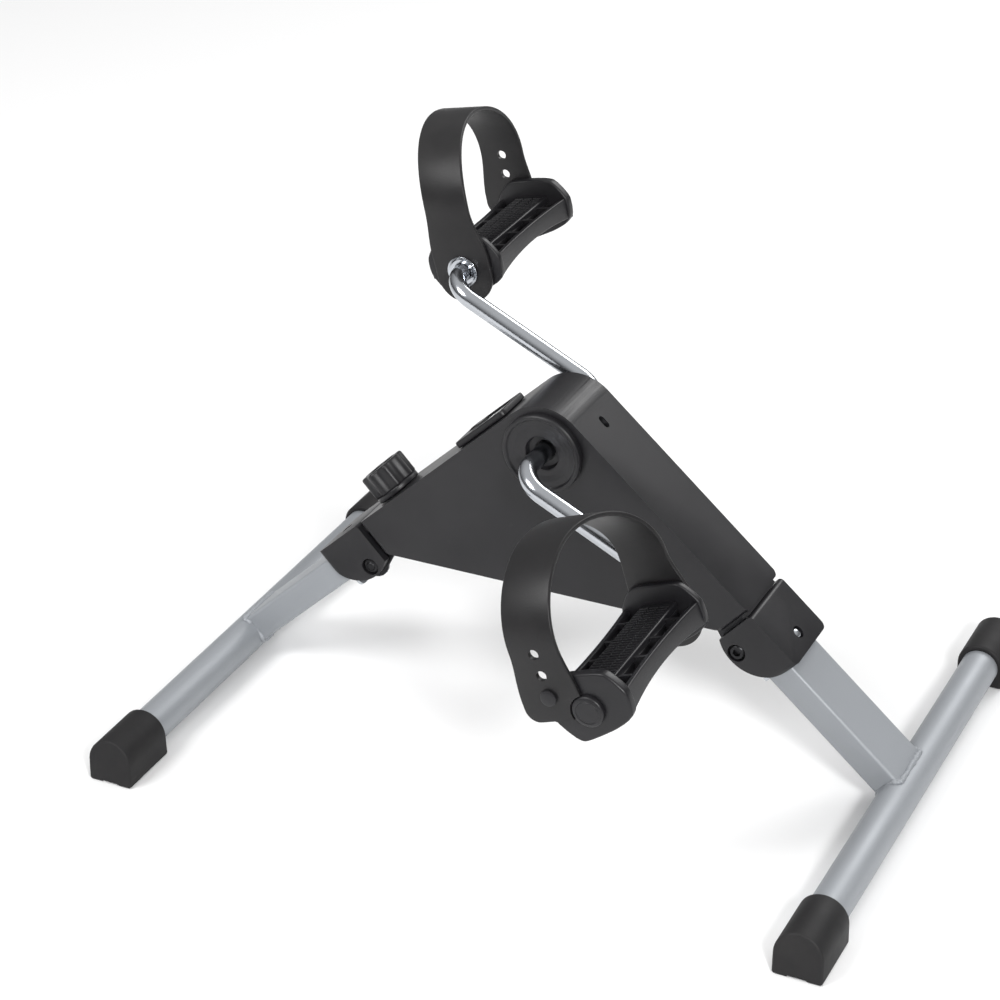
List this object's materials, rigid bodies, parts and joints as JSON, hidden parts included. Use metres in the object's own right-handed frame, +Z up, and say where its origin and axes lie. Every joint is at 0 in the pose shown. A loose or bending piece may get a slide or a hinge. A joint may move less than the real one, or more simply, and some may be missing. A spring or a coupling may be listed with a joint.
{
  "type": "pedal exerciser",
  "caption": "Folding floor pedal exerciser: black hub casing on hinged bar-footed legs, bent cranks, strapped pedals, tension knob and a small display.",
  "frame": {"origin": "centre of the floor under the object, midway between the two foot bars and between the two pedals", "axes": "+X forwards, away from the user who sits behind it; +Y to the user's left; +Z up"},
  "size_m": [0.512, 0.414, 0.3622],
  "materials": {
    "shell": "fine-textured moulded black",
    "rubber": "soft matt black",
    "paint": "silver metallic powder coat",
    "chrome": "bright zinc plate",
    "steel": "plain plated steel",
    "nylon": "natural nylon",
    "lens": "clear window",
    "board": "green laminate",
    "screen": "grey-green liquid crystal panel",
    "felt": "brown felt"
  },
  "bodies": {
    "frame": {"chassis": "steel", "main_cover": "shell", "bottom_cover": "shell", "right_crank_bush": "nylon", "left_crank_bush": "nylon", "right_crank_cover": "shell", "left_crank_cover": "shell", "display_case": "shell", "display_lens": "lens", "display_screen": "screen", "display_board": "board", "coin_cell": "steel", "speed_sensor": "shell", "lever_pin": "steel", "cover_screw": "steel", "front_bottom_screw": "steel", "rear_bottom_screw": "steel", "front_hinge_spacer": "steel", "rear_hinge_spacer": "steel"},
    "display_button": {"display_button": "rubber"},
    "front_leg": {"front_foot_bar": "paint", "front_leg_tube": "paint", "front_hinge_bracket": "shell", "front_bracket_screw": "chrome", "front_right_foot_cap": "rubber", "front_left_foot_cap": "rubber", "front_pivot_bolt": "steel", "front_pivot_nut": "steel"},
    "rear_leg": {"rear_foot_bar": "paint", "rear_leg_tube": "paint", "rear_hinge_bracket": "shell", "rear_bracket_screw": "chrome", "rear_right_foot_cap": "rubber", "rear_left_foot_cap": "rubber", "rear_pivot_bolt": "steel", "rear_pivot_nut": "steel"},
    "front_latch": {"front_latch": "chrome"},
    "rear_latch": {"rear_latch": "chrome"},
    "crank": {"right_crank_rod": "chrome", "left_crank_rod": "chrome", "crank_drum": "steel", "sensor_magnet": "chrome", "right_drum_screw": "steel", "left_drum_screw": "steel", "right_axle_washer": "chrome", "left_axle_washer": "chrome", "right_axle_nut": "steel", "left_axle_nut": "steel"},
    "right_pedal": {"right_pedal_body": "shell", "right_pedal_cap": "shell", "right_strap": "rubber"},
    "left_pedal": {"left_pedal_body": "shell", "left_pedal_cap": "shell", "left_strap": "rubber"},
    "tension_knob": {"tension_knob": "shell", "tension_screw": "steel"},
    "tension_nut": {"tension_nut": "steel"},
    "brake_lever": {"brake_lever": "steel", "brake_pad": "felt"}
  },
  "joints": [
    {"name": "crank_spin", "type": "hinge", "parent": "frame", "child": "crank", "pos_m": [0, 0, 0.2162], "axis": [0, 1, 0], "continuous": true},
    {"name": "right_pedal_spin", "type": "hinge", "parent": "crank", "child": "right_pedal", "pos_m": [0.11222, 0, 0.1589], "axis": [0, 1, 0], "continuous": true},
    {"name": "left_pedal_spin", "type": "hinge", "parent": "crank", "child": "left_pedal", "pos_m": [-0.11222, 0, 0.2735], "axis": [0, 1, 0], "continuous": true},
    {"name": "front_leg_fold", "type": "hinge", "parent": "frame", "child": "front_leg", "pos_m": [0.13207, 0, 0.1], "axis": [0, 1, 0], "range_deg": [0, 137]},
    {"name": "rear_leg_fold", "type": "hinge", "parent": "frame", "child": "rear_leg", "pos_m": [-0.13207, 0, 0.1], "axis": [0, -1, 0], "range_deg": [0, 118]},
    {"name": "front_latch_pull", "type": "slide", "parent": "front_leg", "child": "front_latch", "axis": [0.7385, 0, -0.6743], "range_m": [0, 0.006], "stiffness_N_per_m": 500},
    {"name": "rear_latch_pull", "type": "slide", "parent": "rear_leg", "child": "rear_latch", "axis": [-0.7385, 0, -0.6743], "range_m": [0, 0.006], "stiffness_N_per_m": 500},
    {"name": "tension_knob_turn", "type": "hinge", "parent": "frame", "child": "tension_knob", "pos_m": [-0.12037, 0, 0.1486], "axis": [0.6743, 0, -0.7385], "range_deg": [0, 540]},
    {"name": "tension_nut_slide", "type": "slide", "parent": "frame", "child": "tension_nut", "axis": [-0.6743, 0, 0.7385], "range_m": [0, 0.00188]},
    {"name": "brake_lever_tilt", "type": "hinge", "parent": "frame", "child": "brake_lever", "pos_m": [-0.02135, 0, 0.17807], "axis": [0, 1, 0], "range_deg": [0, 1.16]},
    {"name": "display_button_press", "type": "slide", "parent": "frame", "child": "display_button", "axis": [0.6743, 0, -0.7385], "range_m": [0, 0.0007], "stiffness_N_per_m": 400}
  ],
  "couplings": [
    {"joint": "tension_nut_slide", "follows": "tension_knob_turn", "m_per_rad": 0.00019894},
    {"joint": "brake_lever_tilt", "follows": "tension_knob_turn", "ratio": 0.0021392}
  ]
}
